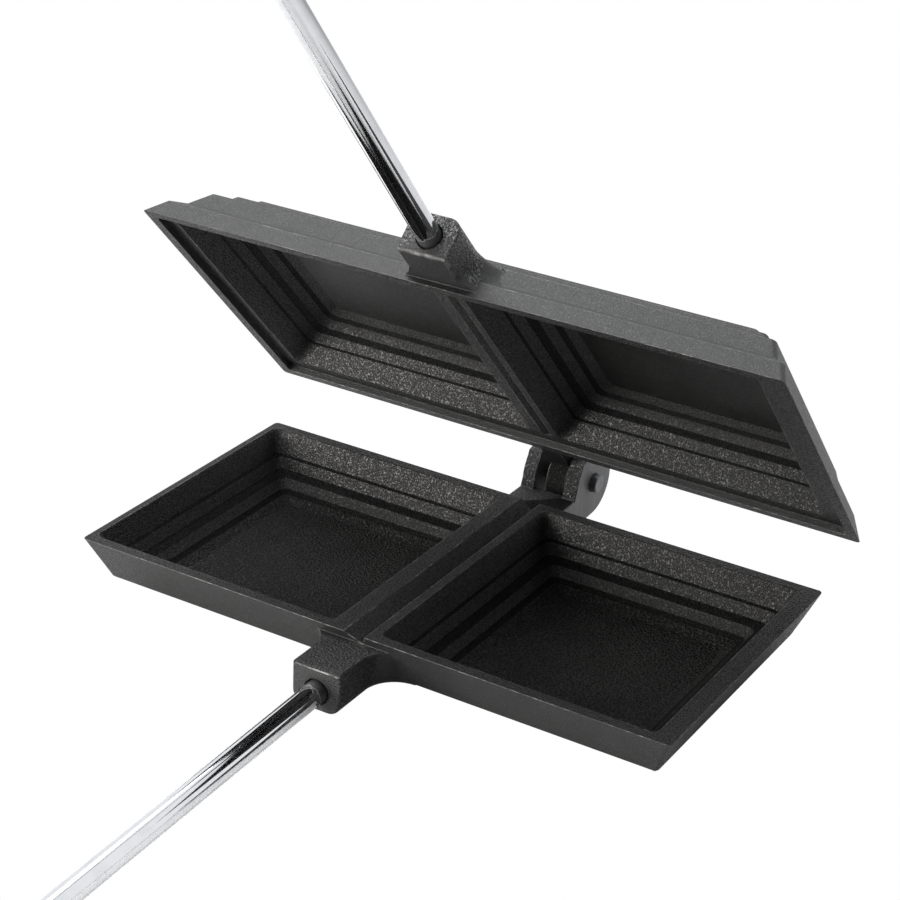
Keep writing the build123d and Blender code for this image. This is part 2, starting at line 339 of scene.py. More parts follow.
def rounded_casting(node, narrow, wide, near_boss):
    """A copy of a casting's surface, welded, with a rounded strip along every crease.

    The strips are wider on the boss. Flat neighbours are joined first, and area-weighted normals
    keep the large faces flat.
    """
    mesh = frame["nodes"][node].data.copy()
    for name in [attribute.name for attribute in mesh.attributes]:
        if name in ("custom_normal", "sharp_face", "sharp_edge"):
            mesh.attributes.remove(mesh.attributes[name])
    mesh.materials.clear()
    for _ in range(2):
        mesh.materials.append(None)
    welded = bmesh.new()
    welded.from_mesh(mesh)
    bmesh.ops.remove_doubles(welded, verts=welded.verts, dist=2e-6)
    bmesh.ops.dissolve_degenerate(welded, edges=welded.edges, dist=2e-6)
    bmesh.ops.dissolve_limit(
        welded, angle_limit=math.radians(FLAT), verts=welded.verts, edges=welded.edges
    )
    crease = math.radians(CREASE)
    sharp = np.array([edge.calc_face_angle(0) > crease for edge in welded.edges])
    welded.to_mesh(mesh)
    welded.free()
    widths = strip_widths(mesh, narrow, wide, near_boss) * sharp
    weight = mesh.attributes.new("bevel_weight_edge", "FLOAT", "EDGE")
    weight.data.foreach_set("value", widths.astype(np.float32))
    mesh.polygons.foreach_set("use_smooth", np.ones(len(mesh.polygons), bool))
    piece = shown(node + "_casting", mesh)
    bevel = piece.modifiers.new("rounded edges", "BEVEL")
    bevel.width = wide
    bevel.segments = 3
    bevel.limit_method = "WEIGHT"
    bevel.use_clamp_overlap = False
    bevel.material = 1
    normals = piece.modifiers.new("flat faces", "WEIGHTED_NORMAL")
    normals.mode = "FACE_AREA"
    normals.weight = 60
    bpy.context.view_layer.update()
    evaluated = piece.evaluated_get(bpy.context.evaluated_depsgraph_get())
    finished = bpy.data.meshes.new_from_object(evaluated)
    piece.modifiers.clear()
    piece.data = finished
    finished.name = piece.name
    return piece


# ---- materials ----


class Amount:
    """A number that changes over a surface: one output socket, with arithmetic that adds Math nodes."""

    def __init__(self, paint, socket):
        self.paint = paint
        self.socket = socket

    def math(self, operation, *values):
        """A Math node on the given values."""
        inputs = dict(enumerate(values))
        return self.paint.add("ShaderNodeMath", {"operation": operation}, inputs, "Value")

    def __add__(self, other):
        return self.math("ADD", self, other)

    __radd__ = __add__

    def __mul__(self, other):
        return self.math("MULTIPLY", self, other)

    def __sub__(self, other):
        return self.math("SUBTRACT", self, other)

    def __rsub__(self, other):
        return self.math("SUBTRACT", other, self)

    def __truediv__(self, other):
        return self.math("DIVIDE", self, other)

    def __pow__(self, other):
        return self.math("POWER", self, other)

    def at_most(self, other):
        return self.math("MINIMUM", self, other)

    def between(self, low, high, start=0.0, end=1.0):
        """Smooth step from start to end while this goes from low to high."""
        settings = {"interpolation_type": "SMOOTHSTEP"}
        inputs = {"Value": self, "From Min": low, "From Max": high, "To Min": start, "To Max": end}
        return self.paint.add("ShaderNodeMapRange", settings, inputs, "Result")


class Paint:
    """One material and the nodes that are added to it."""

    def __init__(self, name):
        self.material = bpy.data.materials.new(name)
        self.material.use_nodes = True
        self.tree = self.material.node_tree
        self.tree.nodes.clear()

    def add(self, kind, settings, inputs, output):
        """Adds a node: its settings first, then the values or links of its sockets."""
        node = self.tree.nodes.new(kind)
        for name, value in settings.items():
            setattr(node, name, value)
        for name, value in inputs.items():
            if isinstance(value, Amount):
                self.tree.links.new(value.socket, node.inputs[name])
            else:
                node.inputs[name].default_value = value
        return Amount(self, node.outputs[output])

    def place(self):
        """The point on the piece in its own frame, in metres."""
        return self.add("ShaderNodeTexCoord", {}, {}, "Object")

    def turned_place(self):
        """The point on a turned piece: two places across its axis and the place along it."""
        return self.add("ShaderNodeAttribute", {"attribute_name": "turned_place"}, {}, "Vector")

    def parts(self, vector):
        """The three numbers of a vector."""
        node = self.tree.nodes.new("ShaderNodeSeparateXYZ")
        self.tree.links.new(vector.socket, node.inputs[0])
        return [Amount(self, output) for output in node.outputs]

    def stretched(self, vector, x, y, z):
        """The vector with each of its numbers scaled."""
        inputs = {0: vector, 1: (x, y, z)}
        return self.add("ShaderNodeVectorMath", {"operation": "MULTIPLY"}, inputs, "Vector")

    def noise(self, vector, size, detail=2.0, roughness=0.5, warp=0.0):
        """Cloudy number round 0.5 whose blots are about this many metres across."""
        inputs = {"Vector": vector, "Scale": 1 / size, "Detail": detail, "Roughness": roughness}
        inputs["Distortion"] = warp
        return self.add("ShaderNodeTexNoise", {}, inputs, "Fac")

    def spots(self, vector, size):
        """Distance from the nearest of many scattered points, in units of this size."""
        inputs = {"Vector": vector, "Scale": 1 / size}
        return self.add("ShaderNodeTexVoronoi", {"feature": "F1"}, inputs, "Distance")

    def mix(self, factor, first, second):
        """Colour between two: the first where the factor is 0, the second where it is 1."""
        settings = {"data_type": "RGBA"}
        inputs = {0: factor}
        for index, colour in ((6, first), (7, second)):
            inputs[index] = colour if isinstance(colour, Amount) else (*colour, 1)
        return self.add("ShaderNodeMix", settings, inputs, 2)

    def bump(self, height):
        """Normal for a height in millimetres."""
        inputs = {"Height": height, "Distance": MM, "Strength": 1.0}
        return self.add("ShaderNodeBump", {}, inputs, "Normal")

    def finish(self, inputs):
        """Ends the material in one surface shader."""
        surface = self.add("ShaderNodeBsdfPrincipled", {}, inputs, "BSDF")
        output = self.tree.nodes.new("ShaderNodeOutputMaterial")
        self.tree.links.new(surface.socket, output.inputs["Surface"])
        return self.material


def scaled(colour, factor):
    """A colour made darker or lighter."""
    return tuple(part * factor for part in colour)


def sand_texture(paint, place, pebble, depth, grain_depth):
    """Height of a sand-cast skin in millimetres, and how far up a pebble each point is."""
    tops = paint.noise(place, pebble * 0.6, 2.0, 0.55, 0.4).between(0.36, 0.66)
    grain = paint.noise(place, 0.00034, 1.0, 0.5)
    swell = paint.noise(place, 0.008, 1.0, 0.5)
    height = tops * depth + grain * grain_depth + swell * 0.12
    return height, tops


def iron_paint(name, colour, pebble, depth, grain_depth, roughness, contrast, sheen, glint):
    """Sand-cast iron with a seasoned skin: pebbles, fine grain, cloudy tone and small bare specks.

    The contrast tells how much darker the pits between the pebbles are painted than the pebbles' tops:
    painted shade in the pits and a painted highlight on the tops. The glint tells how strongly a second,
    smoother skin on the tops shines.
    """
    looks = bpy.context.scene.pie_iron_castings
    paint = Paint(name)
    place = paint.place()
    height, tops = sand_texture(paint, place, pebble, depth, grain_depth)
    cloud = paint.noise(place, 0.018, 2.0, 0.6)
    mottle = paint.noise(place, 0.0022, 2.0, 0.6)
    # painted shade in the pits and painted highlight on the tops, multiplied into the cloudy tone
    shade = tops.between(0, 1, 1 - contrast, 1 + contrast)
    worn = (cloud * 0.5 + mottle * 0.3).between(0.25, 0.6, 0.7, 1.3) * shade
    tone = paint.mix(worn * 0.5, (0, 0, 0), scaled(colour, 2.0))
    specks = paint.spots(place, 0.009).between(0.05, 0.015) * cloud.between(0.55, 0.65)
    tone = paint.mix(specks * 0.25, tone, looks.bare_colour)
    rust = paint.noise(place, 0.009, 3.0, 0.7).between(0.68, 0.78) * mottle.between(0.4, 0.7)
    tone = paint.mix(rust * 0.4, tone, looks.rust_colour)
    gloss = roughness + (mottle - 0.5) * 0.16 + (1 - tops) * (contrast * 0.25)
    inputs = {
        "Base Color": tone,
        "Roughness": gloss,
        "Specular IOR Level": sheen,
        "Normal": paint.bump(height),
    }
    if glint:
        inputs["Coat Weight"] = tops.between(0.3, 0.9) * glint
        inputs["Coat Roughness"] = 0.36
        inputs["Coat IOR"] = 1.8
    return paint.finish(inputs)


def worn_paint(name, colour, pebble, depth):
    """The narrow edges, rubbed to lighter metal in broken stretches."""
    looks = bpy.context.scene.pie_iron_castings
    paint = Paint(name)
    place = paint.place()
    height, tops = sand_texture(paint, place, pebble, depth, 0.02)
    rubbed = paint.noise(place, 0.011, 2.0, 0.65).between(0.4, 0.66)
    nicks = paint.noise(place, 0.0016, 2.0, 0.6).between(0.38, 0.66)
    amount = (0.15 + rubbed * 0.85) * nicks * looks.edge_wear
    tone = paint.mix(amount, scaled(colour, 1.3), looks.worn_colour)
    inputs = {
        "Base Color": tone,
        "Roughness": 0.5 - amount * 0.1,
        "Metallic": amount * 0.6,
        "Specular IOR Level": looks.sheen,
        "Normal": paint.bump(height),
    }
    return paint.finish(inputs)


def ground_paint(name, colour):
    """A face ground flat on a belt: fine straight upright lines."""
    paint = Paint(name)
    place = paint.place()
    upright = paint.stretched(place, 1, 1, 0.03)
    lines = paint.noise(upright, 0.00035, 2.0, 0.7)
    broad = paint.noise(upright, 0.0018, 2.0, 0.6)
    cloud = paint.noise(place, 0.006, 2.0, 0.6)
    pits = paint.spots(place, 0.0014).between(0.16, 0.05) * cloud.between(0.45, 0.65)
    tone = paint.mix((lines * 0.6 + broad * 0.4).between(0.3, 0.7), scaled(colour, 0.7), colour)
    tone = paint.mix(pits * 0.8, tone, (0.02, 0.02, 0.021))
    inputs = {
        "Base Color": tone,
        "Roughness": 0.42 + cloud * 0.16,
        "Metallic": 0.4,
        "Normal": paint.bump(lines * 0.02 + broad * 0.02 - pits * 0.08),
    }
    return paint.finish(inputs)


def plated_paint(name, colour, bare_colour, collar):
    """Bright plated rod with a short dull collar where the plating stops at the casting."""
    paint = Paint(name)
    place = paint.turned_place()
    _, _, along = paint.parts(place)
    wander = paint.noise(place, 0.002, 2.0, 0.6)
    bare = (along + (wander - 0.5) * 0.003).between(collar + 0.0004, collar - 0.0004)
    haze = paint.noise(place, 0.006, 3.0, 0.65)
    pits = paint.spots(place, 0.0035).between(0.07, 0.03) * haze.between(0.5, 0.62)
    tone = paint.mix(haze.between(0.35, 0.75), colour, scaled(colour, 0.92))
    tone = paint.mix(pits * 0.6, tone, (0.08, 0.07, 0.06))
    tone = paint.mix(bare, tone, paint.mix(wander, scaled(bare_colour, 0.3), scaled(bare_colour, 2.0)))
    inputs = {
        "Base Color": tone,
        "Roughness": (0.06 + haze * 0.04 + pits * 0.3 + bare * 0.4).at_most(0.7),
        "Metallic": 1.0 - bare * 0.9,
        "Normal": paint.bump(bare * wander * 0.03 - pits * 0.01),
    }
    return paint.finish(inputs)


def steel_paint(name, colour, roughness, rust_colour, rust):
    """Plain turned or drawn steel: rings about the axis, cloudy tone and a little rust in patches."""
    paint = Paint(name)
    place = paint.turned_place()
    x, y, along = paint.parts(place)
    radius = (x * x + y * y) ** 0.5
    turning = {"W": (radius + along) * 5200.0, "Detail": 2.0}
    rings = paint.add("ShaderNodeTexNoise", {"noise_dimensions": "1D"}, turning, "Fac")
    cloud = paint.noise(place, 0.004, 3.0, 0.6)
    blot = (paint.noise(place, 0.0016, 4.0, 0.7) * 0.6 + cloud * 0.4).between(0.56, 0.66) * rust
    tone = paint.mix(cloud.between(0.3, 0.7), scaled(colour, 0.75), colour)
    tone = paint.mix(blot, tone, rust_colour)
    inputs = {
        "Base Color": tone,
        "Roughness": roughness + cloud * 0.12 + blot * 0.25,
        "Metallic": 0.95 - blot * 0.7,
        "Normal": paint.bump(rings * 0.012 + blot * 0.02),
    }
    return paint.finish(inputs)


def wood_paint(name, pale, dark):
    """Turned, oiled hardwood: growth rings round an off-centre pith, long fibres and short pores."""
    looks = bpy.context.scene.pie_iron_grips
    paint = Paint(name)
    place = paint.turned_place()
    bend = paint.noise(paint.stretched(place, 1, 1, 0.14), 0.011, 2.0, 0.5)
    x, y, along = paint.parts(place)
    across = x + 0.011 + (bend - 0.5) * 0.006
    deep = y * 0.8 - 0.004 + (bend - 0.5) * 0.004
    growth = (across * across + deep * deep) ** 0.5 / looks.ring_gap
    rings = growth.math("FRACT", growth)
    late = rings.between(0.45, 0.95) * (1 - rings.between(0.95, 1.0))
    fibre = paint.noise(paint.stretched(place, 1, 1, 0.02), 0.00045, 3.0, 0.65)
    streak = paint.noise(paint.stretched(place, 1, 1, 0.05), 0.003, 3.0, 0.6)
    pores = paint.noise(paint.stretched(place, 1, 1, 0.045), 0.0003, 1.0, 0.5).between(0.66, 0.72)
    burnt = along.math("COMPARE", along, looks.burnt_line, BURNT_LINE_HALF)
    hands = paint.noise(place, 0.03, 3.0, 0.6)
    tone = paint.mix((late * 0.55 + streak * 0.6 + fibre * 0.25).between(0.3, 0.95), pale, dark)
    tone = paint.mix(pores * 0.7, tone, scaled(dark, 0.35))
    tone = paint.mix(hands.between(0.45, 0.8) * 0.35, tone, scaled(dark, 0.6))
    tone = paint.mix(burnt * 0.85, tone, (0.018, 0.01, 0.006))
    inputs = {
        "Base Color": tone,
        "Roughness": 0.42 + fibre * 0.16 + pores * 0.2 + burnt * 0.2,
        "Specular IOR Level": 0.4,
        "Coat Weight": 0.12 + hands * 0.12,
        "Coat Roughness": 0.3,
        "Normal": paint.bump(fibre * 0.03 - pores * 0.06 + late * 0.02),
    }
    return paint.finish(inputs)


def floor_paint(name, colour):
    """White matt table top."""
    paint = Paint(name)
    place = paint.place()
    cloud = paint.noise(place, 0.3, 3.0, 0.5)
    grain = paint.noise(place, 0.0012, 2.0, 0.5)
    tone = paint.mix(cloud, scaled(colour, 0.985), colour)
    inputs = {
        "Base Color": tone,
        "Roughness": 0.75 + grain * 0.1,
        "Specular IOR Level": 0.2,
        "Normal": paint.bump(grain * 0.01),
    }
    return paint.finish(inputs)


# ---- the settings ----


def length(name, description, default, low=0.0, high=1.0):
    """A length property in metres."""
    return bpy.props.FloatProperty(
        name=name, description=description, default=default, min=low, max=high, unit="LENGTH", precision=5
    )


def point(name, description, default):
    """A place in metres."""
    return bpy.props.FloatVectorProperty(
        name=name, description=description, default=default, size=3, unit="LENGTH"
    )


def colour(name, description, default):
    """A linear colour property."""
    return bpy.props.FloatVectorProperty(
        name=name, description=description, default=default, size=3, min=0, max=1, subtype="COLOR"
    )


def share(name, description, default, low=0.0, high=1.0):
    """A plain number property."""
    return bpy.props.FloatProperty(name=name, description=description, default=default, min=low, max=high)


class CastingSettings(bpy.types.PropertyGroup):
    edge_round: length("Edge rounding", "Width of the rounded strip along each edge", 0.00032, 0.0, 0.001)
    boss_round: length("Boss rounding", "Width of the strip along the bosses' edges", 0.0009, 0.0, 0.002)
    pebble: length("Pebble size", "Size of the bumps that the moulding sand leaves", 0.0011, 0.0003, 0.003)
    sheen: share("Sheen", "Strength of the seasoned skin's reflection", 0.5)
    edge_wear: share("Edge wear", "How far the edges are rubbed bright", 0.6)
    outside_colour: colour("Outside", "Iron on the outside walls", (0.012, 0.012, 0.0124))
    pan_colour: colour("Pans", "Seasoned iron inside the pans", (0.011, 0.0108, 0.0105))
    # near-black painted shade, laid on the treads, the hollow corners and the hinge's web and tongue
    soot_colour: colour("Soot", "Soot on the pans' treads and in the hollow corners", (0.006, 0.006, 0.006))
    rim_colour: colour("Rims", "Iron on the rims and ledges", (0.009, 0.0088, 0.0087))
    ground_colour: colour("Ground faces", "Iron where a face is ground", (0.13, 0.13, 0.133))
    worn_colour: colour("Worn edges", "Metal that shows on the rubbed edges", (0.3, 0.29, 0.28))
    bare_colour: colour("Bare specks", "Small bright specks in the skin", (0.2, 0.19, 0.18))
    rust_colour: colour("Rust", "Faint rust in the skin", (0.055, 0.03, 0.018))


class RodSettings(bpy.types.PropertyGroup):
    collar: length("Bare collar", "How far the rod is unplated next to the casting", 0.0032, 0.0, 0.02)
    plate_colour: colour("Plating", "Bright plating on the rods", (0.72, 0.73, 0.75))
    bare_colour: colour("Bare steel", "Dull steel of the collar", (0.035, 0.035, 0.035))
    end_round: length("End rounding", "Rounding of the rod's ends", 0.0005, 0.0, 0.002)


class PinSettings(bpy.types.PropertyGroup):
    steel_colour: colour("Steel", "Dull steel of the hinge pin", (0.16, 0.16, 0.165))
    rust_colour: colour("Rust", "Rust on the pin and nails", (0.07, 0.03, 0.014))
    end_round: length("End rounding", "Rounding of the pin's ends", 0.0004, 0.0, 0.002)


class GripSettings(bpy.types.PropertyGroup):
    pale_wood: colour("Pale wood", "Early wood of the grips", (0.36, 0.2, 0.09))
    dark_wood: colour("Dark wood", "Late wood of the grips", (0.17, 0.08, 0.032))
    ring_gap: length("Ring spacing", "Distance between growth rings", 0.0021, 0.0005, 0.01)
    burnt_line: length("Burnt line", "Where the burnt line runs, from the grip's front", 0.021, 0.017, 0.1)
    groove: length("Groove depth", "Depth of the turned groove under the burnt line", 0.0005, 0.0, 0.002)
    ferrule_colour: colour("Ferrule", "Steel of the ferrules", (0.55, 0.55, 0.56))


class StageSettings(bpy.types.PropertyGroup):
    camera_place: point("Camera", "Where the camera stands", (0.3087, -0.5296, 0.3596))
    camera_aim: point("Aim", "Point that the camera looks at", (-0.04094, 0.06705, 0.022))
    camera_roll: bpy.props.FloatProperty(
        name="Roll",
        description="Turn of the camera about its line of sight",
        default=math.radians(2.516),
        unit="ROTATION",
    )
    lens: share("Lens", "Focal length in millimetres on a 36 mm sensor", 92.88, 20, 300)
    floor_colour: colour("Floor", "The plain pale floor", (0.72, 0.72, 0.72))
    front_light: share("Front light", "Power of the low soft light before the iron, in watts", 22, 0, 1000)
    high_light: share("High light", "Power of the soft light above the camera's left, in watts", 5, 0, 1000)
    top_light: share("Top light", "Power of the soft light above the iron, in watts", 15.5, 0, 1000)
    back_room: share("Room behind", "Brightness of the white room behind the iron", 1.1, 0, 5)
    front_room: share("Room before", "Brightness of the white room before the iron", 0.2, 0, 5)


# ---- the pieces ----


def on_boss(points, upper):
    """Which points lie on the front part of the rod boss."""
    if upper:
        points = shut(points)
    return (np.abs(points[:, 0] - CORE_SHIFT) < BOSS_FRONT_REACH) & (points[:, 1] < BOSS_FRONT)


def casting_finish(mesh, half):
    """The finish of each face of a rounded casting, from where it lies and which way it looks."""
    upper = half == "upper"
    slots = np.empty(len(mesh.polygons), int)
    mesh.polygons.foreach_get("material_index", slots)
    strips = slots == 1
    hollow = hollow_strips(mesh, strips)
    points, normals = face_table(mesh)
    if upper:
        points = shut(points)
        normals = turned_about_hinge(normals + HINGE, -OPEN_ANGLE) - HINGE
    aside = np.abs(points[:, 0] - CORE_SHIFT)
    back = points[:, 1]
    depth = (points[:, 2] - RIM_HEIGHT) * (1 if upper else -1)
    facing = normals[:, 2] * (-1 if upper else 1)

    pans = (np.abs(back) < PAN_BREADTH) & (aside < PAN_REACH) & (facing > -0.02)
    pans &= (depth > 0.05 * MM) & (depth < PAN_DEPTH)
    level = pans & (facing > 0.75)
    # this mask of the treads, widened below by the upper half's tongue and the lower half's web, marks
    # faces for the near-black painted shade
    treads = level & (depth < LAST_TREAD[half]) & (aside > DIVIDER_EDGE[half])
    floors = level & (depth > FLOOR_DEPTH)
    rims = ~pans & (facing > 0.98) & (np.abs(back) < RIM_BREADTH) & (depth < RIM_THICKNESS)
    bosses = (back < BOSS_ROOT) & (aside < BOSS_REACH) & (np.abs(depth) > BOSS_BELOW_RIM)
    hinge_part = back > HINGE_PART_START
    if upper:
        ears = np.zeros(len(slots), bool)
        treads |= hinge_part
    else:
        bosses = (bosses & (normals[:, 1] > -0.97)) | hinge_part
        ears = (normals[:, 0] > 0.98) & (back > EAR_START)
        web = (back > WEB_START) & (back < WEB_END) & (points[:, 2] < WEB_TOP) & (facing > -0.5)
        treads |= web & (aside < WEB_REACH)

    finish = np.full(len(slots), OUTSIDE)
    finish[rims] = RIM
    finish[pans] = PAN
    # painted shade on the treads, the web and the tongue
    finish[treads] = PAINTED_SHADE
    finish[floors] = FLOOR
    finish[strips & ~pans] = EDGE
    finish[bosses & ~pans] = BOSS
    finish[ears] = GROUND
    finish[hollow & ~pans] = OUTSIDE
    # painted shade in the hollow corners inside the pans
    finish[hollow & pans & ~floors] = PAINTED_SHADE
    return finish


class PIEIRON_OT_castings(bpy.types.Operator):
    """Rounds the edges of the two iron castings and gives each zone its finish."""

    bl_idname = "pie_iron.castings"
    bl_label = "Castings"

    def execute(self, context):
        looks = context.scene.pie_iron_castings
        paints = {}
        for name, (tone, lighter, size, *skin, sheen, glint) in IRON_FINISHES.items():
            tone = scaled(getattr(looks, tone), lighter)
            paints[name] = iron_paint(name, tone, looks.pebble * size, *skin, looks.sheen * sheen, glint)
        worn = worn_paint("worn edges", tuple(looks.outside_colour), looks.pebble, 0.02)
        ground = ground_paint("ground ear", tuple(looks.ground_colour))
        for half in ("lower", "upper"):
            node = half + "_half"
            upper = half == "upper"
            piece = rounded_casting(
                node, looks.edge_round, looks.boss_round, lambda points: on_boss(points, upper)
            )
            mesh = piece.data
            finish = casting_finish(mesh, half)
            mesh.materials.clear()
            for name in ("outside iron", "pan iron", "rim iron"):
                mesh.materials.append(paints[name])
            mesh.materials.append(worn)
            mesh.materials.append(paints["soot in the corners"])
            mesh.materials.append(ground)
            mesh.materials.append(paints[half + " boss iron"])
            mesh.materials.append(paints[half + " pan floor"])
            mesh.polygons.foreach_set("material_index", finish)
            mesh.update()
            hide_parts(node)
            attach(piece, half)
        return {"FINISHED"}


class PIEIRON_OT_hinge_pin(bpy.types.Operator):
    """Makes the hinge pin: a plain steel pin with rounded, faintly dished ends."""

    bl_idname = "pie_iron.hinge_pin"
    bl_label = "Hinge Pin"

    def execute(self, context):
        looks = context.scene.pie_iron_pin
        low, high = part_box("hinge_pin")
        radius = (high.z - low.z) / 2
        span = high.x - low.x
        bend = looks.end_round
        start = np.array([low.x, (low.y + high.y) / 2, (low.z + high.z) / 2])
        profile = np.concatenate(
            [
                [(0.00012, 0), (0.00006, radius * 0.35), (0, radius * 0.6)],
                round_arc((bend, radius - bend), bend, 180, 90, 5),
                round_arc((span - bend, radius - bend), bend, 90, 0, 5),
                [(span, radius * 0.6), (span - 0.00006, radius * 0.35), (span - 0.00012, 0)],
            ]
        )
        way, across = np.array([1.0, 0, 0]), np.array([0, 1.0, 0])
        piece = turned_piece("hinge_pin_steel", start, way, across, profile)
        steel = steel_paint("pin steel", tuple(looks.steel_colour), 0.36, tuple(looks.rust_colour), 0.6)
        piece.data.materials.append(steel)
        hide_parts("hinge_pin")
        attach(piece, "lower")
        return {"FINISHED"}


class PIEIRON_OT_rods(bpy.types.Operator):
    """Makes the two bright plated rods, with their dull collars at the castings."""

    bl_idname = "pie_iron.rods"
    bl_label = "Rods"

    def execute(self, context):
        looks = context.scene.pie_iron_rods
        plate_colour, bare_colour = tuple(looks.plate_colour), tuple(looks.bare_colour)
        plate = plated_paint("plated rod", plate_colour, bare_colour, looks.collar)
        radius = ROD_RADIUS
        bend = looks.end_round
        first, last = -ROD_SOCKET, ROD_EXPOSED + GRIP_BORE
        profile = np.concatenate(
            [
                [(first, 0)],
                round_arc((first + bend, radius - bend), bend, 180, 90, 4),
                np.stack([np.linspace(0, ROD_EXPOSED, 9), np.full(9, radius)], axis=1),
                round_arc((last - bend, radius - bend), bend, 90, 0, 4),
                [(last, 0)],
            ]
        )
        for half, (start, way, across) in rod_axes().items():
            piece = turned_piece(half + "_rod_bar", start, way, across, profile, 96)
            piece.data.materials.append(plate)
            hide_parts(half + "_rod")
            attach(piece, half)
        return {"FINISHED"}


def grip_profile(burnt_line, groove):
    """The wood's outline: its seat in the ferrule, a slow swell with a small groove, a round end."""
    swell = smooth_curve(GRIP_SWELL, (0, 0), 60) * MM
    dip = np.exp(-(((swell[:, 0] - burnt_line) / (GROOVE_WIDTH * MM)) ** 2))
    swell[:, 1] -= dip * groove
    t = np.linspace(0, 1, 26)[1:, None]
    a, b, c, d = np.array(GRIP_END) * MM
    tail = (1 - t) ** 3 * a + 3 * t * (1 - t) ** 2 * b + 3 * t * t * (1 - t) * c + t**3 * d
    return np.concatenate([np.array(GRIP_SEAT) * MM, swell, tail])


def ferrule_profile():
    """The ferrule's wall as a closed ring: a rounded front, a bead behind it and one at the back."""
    outline = [
        [(-0.8, 3.62), (-0.8, 8.9)],
        round_arc((0.3, 8.9), 1.1, 180, 90, 7),
        [(1.2, 10.0), (1.7, 9.72), (2.6, 9.7), (3.1, 9.98), (3.6, 9.98), (4.1, 9.7)],
        [(13.2, 9.7), (13.9, 9.74), (14.5, 9.98), (15.3, 10.0), (15.9, 9.8), (16.0, 9.5)],
        [(15.7, 9.22), (0.0, 9.18), (0.0, 3.62)],
    ]
    return np.concatenate(outline) * MM


def nail_profile():
    """A brad with two slightly domed ends."""
    end = [(-10.0, 0), (-9.96, 0.4), (-9.85, 0.8), (-9.6, 1.04), (-9.3, 1.1)]
    other = [(-place, radius) for place, radius in reversed(end)]
    return np.array(end + other) * MM


class PIEIRON_OT_grips(bpy.types.Operator):
    """Makes the turned wooden grips, their steel ferrules and the nails that hold them."""

    bl_idname = "pie_iron.grips"
    bl_label = "Grips"

    def execute(self, context):
        looks = context.scene.pie_iron_grips
        pin = context.scene.pie_iron_pin
        wood = wood_paint("oiled wood", tuple(looks.pale_wood), tuple(looks.dark_wood))
        rust = tuple(pin.rust_colour)
        metal = steel_paint("ferrule steel", tuple(looks.ferrule_colour), 0.24, rust, 0.25)
        nail_metal = steel_paint("nail steel", tuple(pin.steel_colour), 0.4, rust, 0.8)
        body = grip_profile(looks.burnt_line, looks.groove)
        cap = ferrule_profile()
        stud = nail_profile()
        for half, (start, way, across) in rod_axes().items():
            front = start + way * ROD_EXPOSED
            grip = turned_piece(half + "_grip_wood", front, way, across, body, 72)
            ferrule = turned_piece(half + "_ferrule_cap", front, way, across, cap, 72, ring=True)
            beside = np.cross(way, across)
            nail = turned_piece(half + "_nail", front + way * NAIL_FROM_FRONT, across, beside, stud, 20)
            for piece, node, paint, slot in (
                (grip, "_grip", wood, "grip_wood"),
                (ferrule, "_ferrule", metal, "ferrule_steel"),
                (nail, "_grip_nail", nail_metal, "nail_steel"),
            ):
                piece.data.materials.append(paint)
                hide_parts(half + node)
                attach(piece, half)
        return {"FINISHED"}


def soft_light(name, place, aim, width, height, power, tint):
    """A rectangle of soft light that the camera doesn't see."""
    data = bpy.data.lights.new(name, "AREA")
    data.shape = "RECTANGLE"
    data.size, data.size_y = width, height
    data.energy = power
    data.color = tint
    lamp = bpy.data.objects.new(name, data)
    way = Vector(aim) - Vector(place)
    lamp.matrix_world = Matrix.Translation(place) @ way.to_track_quat("-Z", "Y").to_matrix().to_4x4()
    lamp.visible_camera = False
    bpy.context.scene.collection.objects.link(lamp)


def set_range(node, *limits):
    """Sets the four limits of a Map Range node."""
    for name, value in zip(("From Min", "From Max", "To Min", "To Max"), limits):
        node.inputs[name].default_value = value


def white_room(behind, before):
    """Plain white to the camera; as light it is bright behind the iron, where two sheets of it meet in
    a darker upright seam, and dimmer before it.
    """
    world = bpy.data.worlds.new("white room")
    world.use_nodes = True
    nodes, links = world.node_tree.nodes, world.node_tree.links
    nodes.clear()
    way = nodes.new("ShaderNodeTexCoord")
    parts = nodes.new("ShaderNodeSeparateXYZ")
    links.new(way.outputs["Generated"], parts.inputs[0])
    bright = nodes.new("ShaderNodeMapRange")
    bright.interpolation_type = "SMOOTHSTEP"
    set_range(bright, *ROOM_TURN, before, behind)
    links.new(parts.outputs["Y"], bright.inputs["Value"])
    aside = nodes.new("ShaderNodeMath")
    aside.operation = "ABSOLUTE"
    links.new(parts.outputs["X"], aside.inputs[0])
    seam = nodes.new("ShaderNodeMapRange")
    set_range(seam, *SEAM, SEAM_SHADE, 1.0)
    links.new(aside.outputs[0], seam.inputs["Value"])
    light = nodes.new("ShaderNodeMath")
    light.operation = "MULTIPLY"
    links.new(bright.outputs["Result"], light.inputs[0])
    links.new(seam.outputs["Result"], light.inputs[1])
    room = nodes.new("ShaderNodeBackground")
    room.inputs["Color"].default_value = (0.98, 0.99, 1, 1)
    links.new(light.outputs[0], room.inputs["Strength"])
    wall = nodes.new("ShaderNodeBackground")
    wall.inputs["Color"].default_value = (1, 1, 1, 1)
    seen = nodes.new("ShaderNodeLightPath")
    both = nodes.new("ShaderNodeMixShader")
    out = nodes.new("ShaderNodeOutputWorld")
    links.new(seen.outputs["Is Camera Ray"], both.inputs[0])
    links.new(room.outputs[0], both.inputs[1])
    links.new(wall.outputs[0], both.inputs[2])
    links.new(both.outputs[0], out.inputs[0])
    return world


